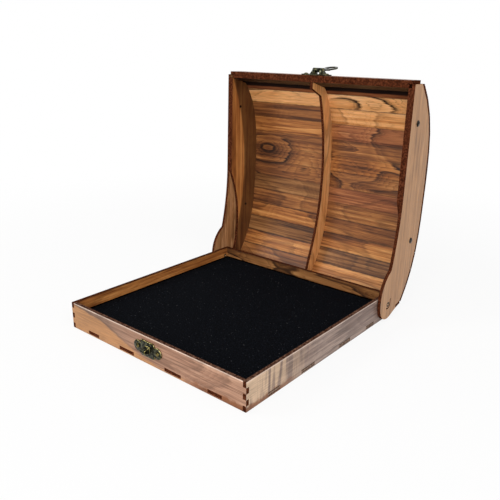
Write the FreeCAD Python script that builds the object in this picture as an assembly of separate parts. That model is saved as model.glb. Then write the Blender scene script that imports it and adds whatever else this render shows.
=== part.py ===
"""Presentation box of 3 mm laser-cut walnut board with a bow-top lid, in millimetres.

A shallow finger-jointed tray carries a foam pad.  The lid is two double-layered side panels,
a middle rib and a front wall, skinned with flat slats.  Its outer side panels end in ears that
turn on short pins in the tray.  A bronze hasp hangs on the lid and drops over a catch on the tray.

Everything is drawn with the tray's front face at Y = 0 and the table at Z = 0, the lid shut.
The lid is then swung open, and the whole is moved so that the middle of its bottom is the origin.
"""
import FreeCAD, Part
import math
import os

Vec = FreeCAD.Vector
X_AXIS = Vec(1, 0, 0)
Y_AXIS = Vec(0, 1, 0)

# Board and tray
SHEET = 3.0
BASE_WIDTH = 200.0
BASE_DEPTH = 204.0
BASE_HEIGHT = 24.0
CORNER_FINGERS = 5
FLOOR_RAISE = 1.0
INNER_TAB_CENTRE = 27.0
INNER_TAB_WIDTH = 18.0
OUTER_TAB_CENTRE = 70.5
OUTER_TAB_WIDTH = 14.0
FOAM_THICKNESS = 10.5
FOAM_CLEAR = 0.5

# Lid hinge
PIVOT_INSET = 6.3
PIVOT_HEIGHT = 15.4
PIN_DIAMETER = 4.0
PIN_RUNNING_CLEAR = 0.05
LID_OPEN = 91.0
LID_SIDE_CLEAR = 0.5
LID_RIM_CLEAR = 0.4

# Ear round the hinge pin, with its spring slit
EAR_RADIUS = 14.2
EAR_TANGENT_ANGLE = -75.0
EAR_REAR_ANGLE = 22.0
SHOULDER_AHEAD = 32.7
SHOULDER_ABOVE = 0.6
BULGE_LENGTH = 67.0
SLIT_RADIUS = 3.9
SLIT_KERF = 1.4
SLIT_SWEEP = 145.0
SLIT_START = -36.0
SLIT_TAIL = 3.6
SLIT_TAIL_TURN = 60.0

# Bow of the lid: places on the edge that the slats lie on, from the front or rear face and the rim
SLAT_COUNT = 13
SLAT_GAP = 0.05
BOW_START_INSET = 4.9
BOW_START_RISE = 15.3
FRONT_SHOULDER_INSET = 26.7
FRONT_SHOULDER_RISE = 31.2
CROWN_SET_BACK = 8.0
CROWN_RISE = 41.0
REAR_SHOULDER_INSET = 41.5
REAR_SHOULDER_RISE = 35.0
TAIL_CORNER_INSET = 2.8
TAIL_CORNER_RISE = 15.2
TAIL_END_INSET = 0.6
TAIL_END_RISE = 6.8

# Lid walls
FRONT_PANEL_HEIGHT = 15.6
LINER_LEAN = 15.0
LINER_LENGTH = 15.5
CUTAWAY_START = 104.0
CUTAWAY_CROWN_INSET = 54.0
CUTAWAY_CROWN_RISE = 12.4
CUTAWAY_END_INSET = 10.0
CUTAWAY_END_RISE = 7.3
RIB_FOOT_WIDTH = 5.5
RIB_KNEE_INSET = 19.4
RIB_KNEE_RISE = 16.4
RIB_CROWN_RISE = 28.6
RIB_HEEL_INSET = 21.0
RIB_HEEL_RISE = 12.6

# Side screws
SIDE_SCREW_FRONT = 35.8
SIDE_SCREW_FRONT_RISE = 12.7
SIDE_SCREW_REAR = 143.8
SIDE_SCREW_REAR_RISE = 24.7
SIDE_HEAD_DIAMETER = 5.6
SIDE_HEAD_HEIGHT = 1.3
SIDE_SHANK_DIAMETER = 2.5
SIDE_TIP_PROUD = 0.6

# Hasp and catch
PLATE_THICKNESS = 1.0
PLATE_HEIGHT = 13.6
PLATE_BODY_WIDTH = 16.4
PLATE_CORNER_RADIUS = 2.0
PLATE_LENGTH = 32.0
LOBE_DIAMETER = 9.6
PLATE_SCREW_SPACING = 23.0
PLATE_HEAD_DIAMETER = 4.4
PLATE_HEAD_HEIGHT = 1.1
PLATE_SHANK_DIAMETER = 2.0
PLATE_SHANK_DEPTH = 2.7
NOSE_WIDTH = 5.5
NOSE_TALL = 5.2
NOSE_REACH = 6.6
NOSE_TIP_RADIUS = 1.7
HASP_PLATE_RISE = 7.4
HASP_AXIS_RISE = 10.6
HASP_AXIS_OUT = 4.6
HASP_PIN_DIAMETER = 1.5
KNUCKLE_DIAMETER = 4.2
KNUCKLE_WIDTH = 2.8
LOOP_KNUCKLE_WIDTH = 4.8
KNUCKLE_SIDE_CLEAR = 0.3
WEB_ROOT_TALL = 6.4
WEB_FLARE = 2.2
TONGUE_THICKNESS = 1.2
TONGUE_NECK = 3.2
TONGUE_WIDTH = 8.0
TONGUE_LENGTH = 13.0
LOOP_BEND = 10.0
LOOP_WIDTH = 13.4
LOOP_LENGTH = 15.5
LOOP_BORDER = 2.4

# Places worked out from the sizes above
HALF_WIDTH = BASE_WIDTH / 2
RIM = BASE_HEIGHT + LID_RIM_CLEAR
PIVOT = Vec(0, BASE_DEPTH - PIVOT_INSET, PIVOT_HEIGHT)
LAYER_SPLIT = HALF_WIDTH + LID_SIDE_CLEAR
LID_HALF_INSIDE = LAYER_SPLIT - SHEET
LID_HALF_OUTSIDE = LAYER_SPLIT + SHEET
HASP_AXIS = Vec(0, -HASP_AXIS_OUT, RIM + HASP_AXIS_RISE)
EYE_CENTRE = LOOP_LENGTH - LOOP_WIDTH / 2
EYE_DROP = TONGUE_LENGTH + EYE_CENTRE * math.cos(math.radians(LOOP_BEND))
HASP_CENTRE = Vec(0, 0, RIM + HASP_PLATE_RISE)
CATCH_CENTRE = Vec(0, 0, HASP_AXIS.z - EYE_DROP)
LOBE_CENTRE = (PLATE_LENGTH - LOBE_DIAMETER) / 2


def side(y, z):
    """A point of the side view."""
    return Vec(0, y, z)


def box(x0, x1, y0, y1, z0, z1):
    return Part.makeBox(x1 - x0, y1 - y0, z1 - z0, Vec(x0, y0, z0))


def rod(diameter, length, start, direction):
    return Part.makeCylinder(diameter / 2, length, start, direction)


def slab(edges, x_start, thickness):
    """A board cut to a closed outline in the side view, laid from x_start towards +X."""
    board = Part.Face(Part.Wire(edges)).extrude(Vec(thickness, 0, 0))
    board.translate(Vec(x_start, 0, 0))
    return board


def polyline(points):
    return [Part.makeLine(a, b) for a, b in zip(points, points[1:])]


def arc(centre, start, end, turn_sign):
    """An arc about a centre in the side view, turning from +Y towards +Z when turn_sign is +1."""
    first = math.atan2(start.z - centre.z, start.y - centre.y)
    last = math.atan2(end.z - centre.z, end.y - centre.y)
    sweep = ((last - first) * turn_sign) % (2 * math.pi) * turn_sign
    radius = (start - centre).Length
    middle = first + sweep / 2
    through = centre + side(radius * math.cos(middle), radius * math.sin(middle))
    return Part.Arc(start, through, end).toShape()


def polar(centre, radius, degrees):
    angle = math.radians(degrees)
    return centre + side(radius * math.cos(angle), radius * math.sin(angle))


def meet(a, b, c, d):
    """Where the line through a and b crosses the line through c and d, in the side view."""
    ab = b - a
    cd = d - c
    across = ab.y * cd.z - ab.z * cd.y
    share = ((c.y - a.y) * cd.z - (c.z - a.z) * cd.y) / across
    return a + ab * share


def mirrored(shape):
    return shape.mirror(Vec(0, 0, 0), X_AXIS)


# Tray: finger-jointed walls, a raised floor on tabs, the foam pad and the hinge pins

def finger_blocks(x0, x1, y0, y1, first):
    """The corner blocks of every second finger, counted up from the table."""
    step = BASE_HEIGHT / CORNER_FINGERS
    return [box(x0, x1, y0, y1, step * i, step * (i + 1)) for i in range(first, CORNER_FINGERS, 2)]


def floor_tabs(length_axis_is_x):
    """The floor's tabs through a wall, drawn through the front and rear or through both sides."""
    tabs = []
    for centre, width in ((INNER_TAB_CENTRE, INNER_TAB_WIDTH), (OUTER_TAB_CENTRE, OUTER_TAB_WIDTH)):
        for sign in (-1, 1):
            low = sign * centre - width / 2
            high = sign * centre + width / 2
            if length_axis_is_x:
                tabs.append((low, high, 0, BASE_DEPTH))
            else:
                tabs.append((-HALF_WIDTH, HALF_WIDTH, BASE_DEPTH / 2 + low, BASE_DEPTH / 2 + high))
    return [box(*tab, FLOOR_RAISE, FLOOR_RAISE + SHEET) for tab in tabs]


def cross_wall(y0):
    """The front or rear wall of the tray."""
    y1 = y0 + SHEET
    wall = box(-HALF_WIDTH, HALF_WIDTH, y0, y1, 0, BASE_HEIGHT)
    cuts = finger_blocks(-HALF_WIDTH, SHEET - HALF_WIDTH, y0, y1, 0)
    cuts += finger_blocks(HALF_WIDTH - SHEET, HALF_WIDTH, y0, y1, 0)
    cuts += floor_tabs(True)
    return wall.cut(cuts)


def right_wall():
    x0 = HALF_WIDTH - SHEET
    wall = box(x0, HALF_WIDTH, 0, BASE_DEPTH, 0, BASE_HEIGHT)
    cuts = finger_blocks(x0, HALF_WIDTH, 0, SHEET, 1)
    cuts += finger_blocks(x0, HALF_WIDTH, BASE_DEPTH - SHEET, BASE_DEPTH, 1)
    cuts += floor_tabs(False)
    cuts.append(rod(PIN_DIAMETER, SHEET, PIVOT + Vec(x0, 0, 0), X_AXIS))
    return wall.cut(cuts)


def tray_floor():
    inside = HALF_WIDTH - SHEET
    board = box(-inside, inside, SHEET, BASE_DEPTH - SHEET, FLOOR_RAISE, FLOOR_RAISE + SHEET)
    return board.fuse(floor_tabs(True) + floor_tabs(False)).removeSplitter()


def foam_pad():
    inside = HALF_WIDTH - SHEET - FOAM_CLEAR
    edge = SHEET + FOAM_CLEAR
    floor_top = FLOOR_RAISE + SHEET
    return box(-inside, inside, edge, BASE_DEPTH - edge, floor_top, floor_top + FOAM_THICKNESS)


def right_hinge_pin():
    start = HALF_WIDTH - SHEET
    return rod(PIN_DIAMETER, LID_HALF_OUTSIDE - start, PIVOT + Vec(start, 0, 0), X_AXIS)


# Lid: the bow that all its cross boards share

def bow_stations():
    """The corners of the slats' seats, from the front wall over the crown to the tail."""
    start = side(BOW_START_INSET, RIM + BOW_START_RISE)
    front = side(FRONT_SHOULDER_INSET, RIM + FRONT_SHOULDER_RISE)
    crown = side(BASE_DEPTH / 2 + CROWN_SET_BACK, RIM + CROWN_RISE)
    rear = side(BASE_DEPTH - REAR_SHOULDER_INSET, RIM + REAR_SHOULDER_RISE)
    corner = side(BASE_DEPTH - TAIL_CORNER_INSET, RIM + TAIL_CORNER_RISE)
    bow = Part.BSplineCurve()
    bow.interpolate([start, front, crown, rear, corner])
    tail_end = side(BASE_DEPTH - TAIL_END_INSET, RIM + TAIL_END_RISE)
    return bow.discretize(Number=SLAT_COUNT + 1) + [tail_end]


STATIONS = bow_stations()
LINER_FOOT = side(SHEET + SHEET / math.cos(math.radians(LINER_LEAN)), RIM)
LINER_RISE = side(math.sin(math.radians(LINER_LEAN)), math.cos(math.radians(LINER_LEAN)))
LINER_SEAT = meet(LINER_FOOT, LINER_FOOT + LINER_RISE, STATIONS[0], STATIONS[1])


def outward(a, b):
    """The unit normal of a slat seat that points out of the lid."""
    along = (b - a).normalize()
    return side(-along.z, along.y)


def slat(index):
    a = STATIONS[index]
    b = STATIONS[index + 1]
    along = (b - a).normalize()
    low = a + along * (SLAT_GAP / 2)
    high = b - along * (SLAT_GAP / 2)
    rise = outward(a, b) * SHEET
    corners = [low, high, high + rise, low + rise, low]
    return slab(polyline(corners), -LID_HALF_OUTSIDE, 2 * LID_HALF_OUTSIDE)


def spring_slit():
    """The curved saw slit behind the pin hole that lets the ear grip its pin."""
    outer = SLIT_RADIUS + SLIT_KERF / 2
    inner = SLIT_RADIUS - SLIT_KERF / 2
    end = SLIT_START + SLIT_SWEEP
    outer_a, outer_b = polar(PIVOT, outer, SLIT_START), polar(PIVOT, outer, end)
    inner_a, inner_b = polar(PIVOT, inner, SLIT_START), polar(PIVOT, inner, end)
    tail = polar(side(0, 0), SLIT_TAIL, end + SLIT_TAIL_TURN)
    edges = [arc(PIVOT, outer_a, outer_b, 1)]
    edges += polyline([outer_b, outer_b + tail, inner_b + tail, inner_b])
    edges.append(arc(PIVOT, inner_b, inner_a, -1))
    edges += polyline([inner_a, outer_a])
    return slab(edges, LAYER_SPLIT, SHEET)


def side_screw_places():
    return [side(SIDE_SCREW_FRONT, RIM + SIDE_SCREW_FRONT_RISE),
            side(SIDE_SCREW_REAR, RIM + SIDE_SCREW_REAR_RISE)]


def side_screw_holes():
    length = LID_HALF_OUTSIDE - LID_HALF_INSIDE
    return [rod(SIDE_SHANK_DIAMETER, length, place + Vec(LID_HALF_INSIDE, 0, 0), X_AXIS)
            for place in side_screw_places()]


def right_outer_panel():
    """Side board with a straight front rim, a falling rear rim and the hinge ear."""
    tail_end = STATIONS[-1]
    tail_lip = tail_end + outward(STATIONS[-2], tail_end) * SHEET
    front_top = meet(STATIONS[0], STATIONS[1], side(SHEET, 0), side(SHEET, 1))
    shoulder = PIVOT + side(-SHOULDER_AHEAD, SHOULDER_ABOVE)
    bulge_start = side(shoulder.y - BULGE_LENGTH, RIM)
    drop = RIM - shoulder.z
    bulge_radius = (BULGE_LENGTH ** 2 + drop ** 2) / (2 * drop)
    bulge_centre = bulge_start - side(0, bulge_radius)
    ear_low = polar(PIVOT, EAR_RADIUS, EAR_TANGENT_ANGLE)
    ear_rear = polar(PIVOT, EAR_RADIUS, EAR_REAR_ANGLE)
    inward = (PIVOT - ear_low).normalize()
    span = shoulder - ear_low
    ear_centre = ear_low + inward * (span.dot(span) / (2 * inward.dot(span)))
    edges = polyline([bulge_start, side(SHEET, RIM), front_top] + STATIONS[1:] + [tail_lip, ear_rear])
    edges.append(arc(PIVOT, ear_rear, ear_low, -1))
    edges.append(arc(ear_centre, ear_low, shoulder, -1))
    edges.append(arc(bulge_centre, shoulder, bulge_start, 1))
    board = slab(edges, LAYER_SPLIT, SHEET)
    bore = rod(PIN_DIAMETER + 2 * PIN_RUNNING_CLEAR, SHEET, PIVOT + Vec(LAYER_SPLIT, 0, 0), X_AXIS)
    return board.cut([bore, spring_slit()] + side_screw_holes())


def right_inner_panel():
    """Side lining that stands on the tray wall and arches clear of the tray's rear corner."""
    start = side(CUTAWAY_START, RIM)
    crown = side(BASE_DEPTH - CUTAWAY_CROWN_INSET, RIM + CUTAWAY_CROWN_RISE)
    end = side(BASE_DEPTH - CUTAWAY_END_INSET, RIM + CUTAWAY_END_RISE)
    edges = polyline([start, LINER_FOOT, LINER_SEAT] + STATIONS[1:] + [end])
    edges.append(Part.Arc(end, crown, start).toShape())
    return slab(edges, LID_HALF_INSIDE, SHEET).cut(side_screw_holes())


def middle_rib():
    """Bowed rib under the slats, with a foot on the liner and a heel under the tail."""
    foot = LINER_FOOT + side(RIB_FOOT_WIDTH, 0)
    knee = side(RIB_KNEE_INSET, RIM + RIB_KNEE_RISE)
    crown = side(BASE_DEPTH / 2, RIM + RIB_CROWN_RISE)
    heel = side(BASE_DEPTH - RIB_HEEL_INSET, RIM + RIB_HEEL_RISE)
    edges = polyline([knee, foot, LINER_FOOT, LINER_SEAT] + STATIONS[1:] + [heel])
    edges.append(Part.Arc(heel, crown, knee).toShape())
    return slab(edges, -SHEET / 2, SHEET)


def plate_screw_holes(centre):
    """Shank holes of a latch plate's two screws, from the plate's face into the wood."""
    depth = PLATE_THICKNESS + PLATE_SHANK_DEPTH
    starts = [centre + Vec(sign * PLATE_SCREW_SPACING / 2, -PLATE_THICKNESS, 0) for sign in (-1, 1)]
    return [rod(PLATE_SHANK_DIAMETER, depth, start, Y_AXIS) for start in starts]


def lid_front_panel():
    board = box(-LAYER_SPLIT, LAYER_SPLIT, 0, SHEET, RIM, RIM + FRONT_PANEL_HEIGHT)
    return board.cut(plate_screw_holes(HASP_CENTRE))


def lid_front_liner():
    """Leaning board behind the front panel that the rib and the side linings stand against."""
    foot_front = side(SHEET, RIM)
    top_back = LINER_FOOT + LINER_RISE * LINER_LENGTH
    top_front = top_back - side(LINER_RISE.z, -LINER_RISE.y) * SHEET
    corners = [foot_front, LINER_FOOT, top_back, top_front, foot_front]
    return slab(polyline(corners), -LID_HALF_INSIDE, 2 * LID_HALF_INSIDE)


def side_screws():
    screws = []
    length = LID_HALF_OUTSIDE - LID_HALF_INSIDE + SIDE_TIP_PROUD
    for place in side_screw_places():
        tip = place + Vec(LID_HALF_INSIDE - SIDE_TIP_PROUD, 0, 0)
        face = place + Vec(LID_HALF_OUTSIDE, 0, 0)
        shank = rod(SIDE_SHANK_DIAMETER, length, tip, X_AXIS)
        screw = shank.fuse(domed_head(SIDE_HEAD_DIAMETER, SIDE_HEAD_HEIGHT, face, X_AXIS)).removeSplitter()
        screws += [screw, mirrored(screw)]
    return Part.makeCompound(screws)


def domed_head(diameter, height, face, direction):
    """A round screw head: a spherical cap on a face, bulging along the direction."""
    radius = diameter / 2
    sphere_radius = (radius ** 2 + height ** 2) / (2 * height)
    ball = Part.makeSphere(sphere_radius, face - direction * (sphere_radius - height))
    return ball.common(rod(diameter, height, face, direction))


# Latch: a lobed plate on the tray with a nose, and a hinged loop on a like plate on the lid

def lobed_plate(centre):
    """A square-bodied plate with a round screw lobe at each end, its back on the wood."""
    half_body = PLATE_BODY_WIDTH / 2
    half_tall = PLATE_HEIGHT / 2
    body = box(-half_body, half_body, -PLATE_THICKNESS, 0, centre.z - half_tall, centre.z + half_tall)
    corners = [edge for edge in body.Edges if edge.BoundBox.YLength > PLATE_THICKNESS / 2]
    body = body.makeFillet(PLATE_CORNER_RADIUS, corners)
    lobes = [rod(LOBE_DIAMETER, PLATE_THICKNESS, centre + Vec(sign * LOBE_CENTRE, 0, 0), -Y_AXIS)
             for sign in (-1, 1)]
    return body.fuse(lobes).removeSplitter().cut(plate_screw_holes(centre))


def catch_plate():
    """The plate on the tray, with a rounded nose that stands through the loop."""
    low = CATCH_CENTRE.z - NOSE_TALL / 2
    high = CATCH_CENTRE.z + NOSE_TALL / 2
    tip = side(NOSE_TIP_RADIUS - NOSE_REACH, CATCH_CENTRE.z)
    over = tip + side(0, NOSE_TIP_RADIUS)
    under = tip - side(0, NOSE_TIP_RADIUS)
    edges = polyline([under, side(-PLATE_THICKNESS, low), side(-PLATE_THICKNESS, high), over])
    edges.append(arc(tip, over, under, 1))
    nose = slab(edges, -NOSE_WIDTH / 2, NOSE_WIDTH)
    return lobed_plate(CATCH_CENTRE).fuse(nose).removeSplitter()


def plate_screws(centre):
    screws = []
    for hole, sign in zip(plate_screw_holes(centre), (-1, 1)):
        face = centre + Vec(sign * PLATE_SCREW_SPACING / 2, -PLATE_THICKNESS, 0)
        head = domed_head(PLATE_HEAD_DIAMETER, PLATE_HEAD_HEIGHT, face, -Y_AXIS)
        screws.append(hole.fuse(head).removeSplitter())
    return Part.makeCompound(screws)


def hasp_plate():
    """The plate on the lid, with two flared knuckles that hold the hasp pin."""
    plate = lobed_plate(HASP_CENTRE)
    radius = KNUCKLE_DIAMETER / 2
    near = LOOP_KNUCKLE_WIDTH / 2 + KNUCKLE_SIDE_CLEAR
    far = near + KNUCKLE_WIDTH
    top = HASP_AXIS + side(0, radius)
    bottom = HASP_AXIS - side(0, radius)
    root_high = side(-PLATE_THICKNESS, HASP_AXIS.z + WEB_ROOT_TALL / 2)
    root_low = side(-PLATE_THICKNESS, HASP_AXIS.z - WEB_ROOT_TALL / 2)
    edges = polyline([bottom, root_low, root_high, top]) + [arc(HASP_AXIS, top, bottom, 1)]
    web = slab(edges, near, KNUCKLE_WIDTH + WEB_FLARE)
    flare = [Vec(far, -HASP_AXIS_OUT, 0), Vec(far + WEB_FLARE, -PLATE_THICKNESS, 0),
             Vec(far + WEB_FLARE, -HASP_AXIS_OUT - radius, 0), Vec(far, -HASP_AXIS_OUT - radius, 0)]
    wedge = Part.Face(Part.makePolygon(flare + flare[:1])).extrude(Vec(0, 0, WEB_ROOT_TALL))
    wedge.translate(Vec(0, 0, HASP_AXIS.z - WEB_ROOT_TALL / 2))
    bore = rod(HASP_PIN_DIAMETER, 2 * far, HASP_AXIS - X_AXIS * far, X_AXIS)
    knuckle = web.cut(wedge)
    return plate.fuse([knuckle, mirrored(knuckle)]).removeSplitter().cut(bore)


def hasp_pin():
    half = LOOP_KNUCKLE_WIDTH / 2 + KNUCKLE_SIDE_CLEAR + KNUCKLE_WIDTH
    return rod(HASP_PIN_DIAMETER, 2 * half, HASP_AXIS - X_AXIS * half, X_AXIS)


def hasp_loop():
    """Knuckle, necked tongue and bent ring, folded back up along the lid's front."""
    half_knuckle = LOOP_KNUCKLE_WIDTH / 2
    half_sheet = TONGUE_THICKNESS / 2
    half_tongue = TONGUE_WIDTH / 2
    knuckle = rod(KNUCKLE_DIAMETER, LOOP_KNUCKLE_WIDTH, Vec(-half_knuckle, 0, 0), X_AXIS)
    neck = box(-half_knuckle, half_knuckle, -half_sheet, half_sheet, 0, TONGUE_NECK)
    tongue = box(-half_tongue, half_tongue, -half_sheet, half_sheet, TONGUE_NECK, TONGUE_LENGTH)
    back = Vec(0, -half_sheet, EYE_CENTRE)
    ring = rod(LOOP_WIDTH, TONGUE_THICKNESS, back, Y_AXIS)
    root = box(-half_tongue, half_tongue, -half_sheet, half_sheet, -half_sheet, EYE_CENTRE)
    eye = rod(LOOP_WIDTH - 2 * LOOP_BORDER, TONGUE_THICKNESS, back, Y_AXIS)
    ring = ring.fuse(root).cut(eye)
    ring.rotate(Vec(0, 0, 0), X_AXIS, LOOP_BEND)
    ring.translate(Vec(0, 0, TONGUE_LENGTH))
    bore_diameter = HASP_PIN_DIAMETER + 2 * PIN_RUNNING_CLEAR
    bore = rod(bore_diameter, LOOP_KNUCKLE_WIDTH, Vec(-half_knuckle, 0, 0), X_AXIS)
    loop = knuckle.fuse([neck, tongue, ring]).cut(bore).removeSplitter()
    loop.translate(HASP_AXIS)
    return loop


def tray_pieces():
    right = right_wall()
    pin = right_hinge_pin()
    front = cross_wall(0).cut(plate_screw_holes(CATCH_CENTRE))
    return {
        "base_front_panel": front,
        "base_back_panel": cross_wall(BASE_DEPTH - SHEET),
        "base_left_panel": mirrored(right),
        "base_right_panel": right,
        "base_bottom_panel": tray_floor(),
        "foam_pad": foam_pad(),
        "hinge_pin_left": mirrored(pin),
        "hinge_pin_right": pin,
        "catch_plate": catch_plate(),
        "catch_screws": plate_screws(CATCH_CENTRE),
    }


def lid_pieces():
    outer = right_outer_panel()
    inner = right_inner_panel()
    pieces = {
        "lid_left_outer_panel": mirrored(outer),
        "lid_right_outer_panel": outer,
        "lid_left_inner_panel": mirrored(inner),
        "lid_right_inner_panel": inner,
        "lid_middle_rib": middle_rib(),
        "lid_front_panel": lid_front_panel(),
        "lid_front_liner": lid_front_liner(),
        "lid_side_screws": side_screws(),
        "hasp_plate": hasp_plate(),
        "hasp_screws": plate_screws(HASP_CENTRE),
        "hasp_pin": hasp_pin(),
        "hasp_loop": hasp_loop(),
    }
    for index in range(len(STATIONS) - 1):
        pieces["lid_slat_%02d" % (index + 1)] = slat(index)
    return pieces


def main():
    os.makedirs("parts", exist_ok=True)
    pieces = tray_pieces()
    for name, shape in lid_pieces().items():
        shape.rotate(PIVOT, X_AXIS, -LID_OPEN)
        pieces[name] = shape
    whole = Part.makeCompound(list(pieces.values())).BoundBox
    to_origin = Vec(-whole.Center.x, -whole.Center.y, -whole.ZMin)
    for name, shape in pieces.items():
        shape.translate(to_origin)
        shape.exportStep("parts/%s.step" % name)


main()
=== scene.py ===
# %% [markdown]
# A bow-topped presentation box
# The real box is cut by laser from 3 mm walnut board: a shallow tray with a black foam pad, and a lid
# of slats laid over bowed side boards.  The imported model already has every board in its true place, so
# this lesson keeps those boards and spends its effort on wood, scorched edges, foam and old bronze.

# %% Load the frame
import math

import bmesh
import bpy
from mathutils import Color, Matrix, Vector, noise


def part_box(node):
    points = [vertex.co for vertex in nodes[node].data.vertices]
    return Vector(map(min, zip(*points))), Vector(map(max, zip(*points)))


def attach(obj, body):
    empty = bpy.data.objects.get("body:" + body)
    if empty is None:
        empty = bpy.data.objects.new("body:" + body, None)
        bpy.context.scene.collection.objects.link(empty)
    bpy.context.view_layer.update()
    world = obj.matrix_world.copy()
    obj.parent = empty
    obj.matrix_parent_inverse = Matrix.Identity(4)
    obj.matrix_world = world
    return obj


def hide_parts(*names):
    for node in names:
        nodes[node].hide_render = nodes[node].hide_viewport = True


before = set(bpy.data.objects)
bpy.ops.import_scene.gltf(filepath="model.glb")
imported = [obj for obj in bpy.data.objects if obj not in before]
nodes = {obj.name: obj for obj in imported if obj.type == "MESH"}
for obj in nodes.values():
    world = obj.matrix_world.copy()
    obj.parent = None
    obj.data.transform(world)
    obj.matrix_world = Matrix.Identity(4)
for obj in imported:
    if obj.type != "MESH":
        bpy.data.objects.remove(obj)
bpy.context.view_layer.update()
MM = 0.001

# %% [markdown]
# The camera
# The view was found by fitting a pinhole camera to the straight edges of the tray.  It is written as a
# place, a compass heading, a dip below the horizon and a small roll, because those can be read and
# checked.

# %% Camera
CAMERA_PLACE = Vector((323.2, -392.4, 239.4)) * MM
CAMERA_HEADING = math.radians(-39.48)
CAMERA_DIP = math.radians(19.08)
CAMERA_ROLL = math.radians(0.79)
CAMERA_LENS = 42.81
SENSOR_WIDTH = 36.0


def aim(heading, dip, roll):
    """The turn of a camera that looks along a heading from +Y, tipped down by dip, then rolled."""
    level = math.cos(dip)
    ahead = Vector((math.sin(heading) * level, math.cos(heading) * level, -math.sin(dip)))
    right = Vector((math.cos(heading), -math.sin(heading), 0))
    upright = Matrix((right, right.cross(ahead), -ahead)).transposed()
    return upright @ Matrix.Rotation(roll, 3, "Z")


def place_camera():
    lens = bpy.data.cameras.new("camera")
    lens.lens = CAMERA_LENS
    lens.sensor_width = SENSOR_WIDTH
    camera = bpy.data.objects.new("camera", lens)
    bpy.context.scene.collection.objects.link(camera)
    turn = aim(CAMERA_HEADING, CAMERA_DIP, CAMERA_ROLL)
    camera.matrix_world = Matrix.Translation(CAMERA_PLACE) @ turn.to_4x4()
    bpy.context.scene.camera = camera
    return camera


print("camera at", list(place_camera().location))

# %% [markdown]
# Small helpers for node trees
# A material in Blender is a tree of nodes.  Short helpers keep the trees readable: one makes a node and
# sets or links its inputs, and the others wrap the maths, noise and colour mixing that every tree needs.

# %% Node helpers
NOISE_SPAN = (0.3, 0.7)  # nearly all values of a noise texture lie in this span


def connect(tree, socket, value):
    """Links a socket to an output, or sets it to a plain value."""
    if isinstance(value, bpy.types.NodeSocket):
        tree.links.new(value, socket)
    else:
        socket.default_value = value


def add(tree, kind, inputs=None, **settings):
    """A new node, with its settings made before its inputs are set or linked."""
    made = tree.nodes.new(kind)
    for name, value in settings.items():
        setattr(made, name, value)
    for name, value in (inputs or {}).items():
        connect(tree, made.inputs[name], value)
    return made


def maths(tree, operation, *values):
    made = add(tree, "ShaderNodeMath", dict(enumerate(values)), operation=operation)
    return made.outputs[0]


def stretch(tree, vector, factors):
    made = add(tree, "ShaderNodeVectorMath", {0: vector, 1: factors}, operation="MULTIPLY")
    return made.outputs[0]


def offset(tree, vector, origin):
    made = add(tree, "ShaderNodeVectorMath", {0: vector, 1: origin}, operation="SUBTRACT")
    return made.outputs[0]


def length_of(tree, vector):
    return add(tree, "ShaderNodeVectorMath", {0: vector}, operation="LENGTH").outputs["Value"]


def split(tree, vector):
    """The X, Y and Z of a vector."""
    return add(tree, "ShaderNodeSeparateXYZ", {"Vector": vector}).outputs


def object_place(tree):
    return tree.nodes.new("ShaderNodeTexCoord").outputs["Object"]


def ease(tree, value, low, high, start=0.0, end=1.0):
    """A smooth step: start below low, end above high."""
    made = add(tree, "ShaderNodeMapRange", {"Value": value, "From Min": low, "From Max": high,
                                            "To Min": start, "To Max": end})
    made.interpolation_type = "SMOOTHSTEP"
    return made.outputs[0]


def cloud(tree, place, scales, detail=2.0, roughness=0.5, distortion=0.0):
    """Noise with a scale of its own along X, Y and Z."""
    made = add(tree, "ShaderNodeTexNoise", {"Vector": stretch(tree, place, scales), "Scale": 1.0,
                                            "Detail": detail, "Roughness": roughness,
                                            "Distortion": distortion})
    return made.outputs[0]


print("node helpers ready")

# %% [markdown]
# Colours and materials
# Colours are written as six-figure screen colours, as on a paint card, and turned into the linear light
# that Blender works in.  Every finish on the box is one Principled shader.  Its patterns could come from
# pictures, but masks made from object coordinates need no unwrapping and never repeat.

# %% Colour and material helpers
MIX_FIRST = 6  # a Mix node's colour sockets go by place, because its number sockets have the same names
MIX_SECOND = 7
MIX_RESULT = 2
BRIGHTEST = 255


def blend_colours(tree, share, first, second, how="MIX"):
    inputs = {0: share, MIX_FIRST: first, MIX_SECOND: second}
    made = add(tree, "ShaderNodeMix", inputs, data_type="RGBA", blend_type=how)
    return made.outputs[MIX_RESULT]


def paint(code):
    """A linear colour from a six-figure screen colour."""
    screen = Color([int(code[i:i + 2], 16) / BRIGHTEST for i in range(0, len(code), 2)])
    return (*screen.from_srgb_to_scene_linear(), 1.0)


def ramp(tree, value, codes):
    """Screen colours spread evenly from 0 to 1."""
    made = add(tree, "ShaderNodeValToRGB", {"Fac": value})
    stops = made.color_ramp.elements
    while len(stops) < len(codes):
        stops.new(len(stops) / len(codes))
    for index, code in enumerate(codes):
        stops[index].position = index / (len(codes) - 1)
        stops[index].color = paint(code)
    return made.outputs[0]


def group(name, inputs, outputs):
    """An empty shader group with named sockets, and its two end nodes."""
    tree = bpy.data.node_groups.new(name, "ShaderNodeTree")
    for title, value in inputs.items():
        kind = "NodeSocketFloat" if isinstance(value, float) else "NodeSocketVector"
        tree.interface.new_socket(name=title, in_out="INPUT", socket_type=kind).default_value = value
    for title in outputs:
        tree.interface.new_socket(name=title, in_out="OUTPUT", socket_type="NodeSocketFloat")
    return tree, tree.nodes.new("NodeGroupInput").outputs, tree.nodes.new("NodeGroupOutput").inputs


def place_group(tree, made_group, inputs):
    made = tree.nodes.new("ShaderNodeGroup")
    made.node_tree = made_group
    for name, value in inputs.items():
        connect(tree, made.inputs[name], value)
    return made.outputs


def new_material(name):
    """A material, its tree, its shader and the object coordinates that its patterns read."""
    material = bpy.data.materials.new(name)
    material.use_nodes = True
    tree = material.node_tree
    return material, tree, tree.nodes["Principled BSDF"], object_place(tree)


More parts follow.
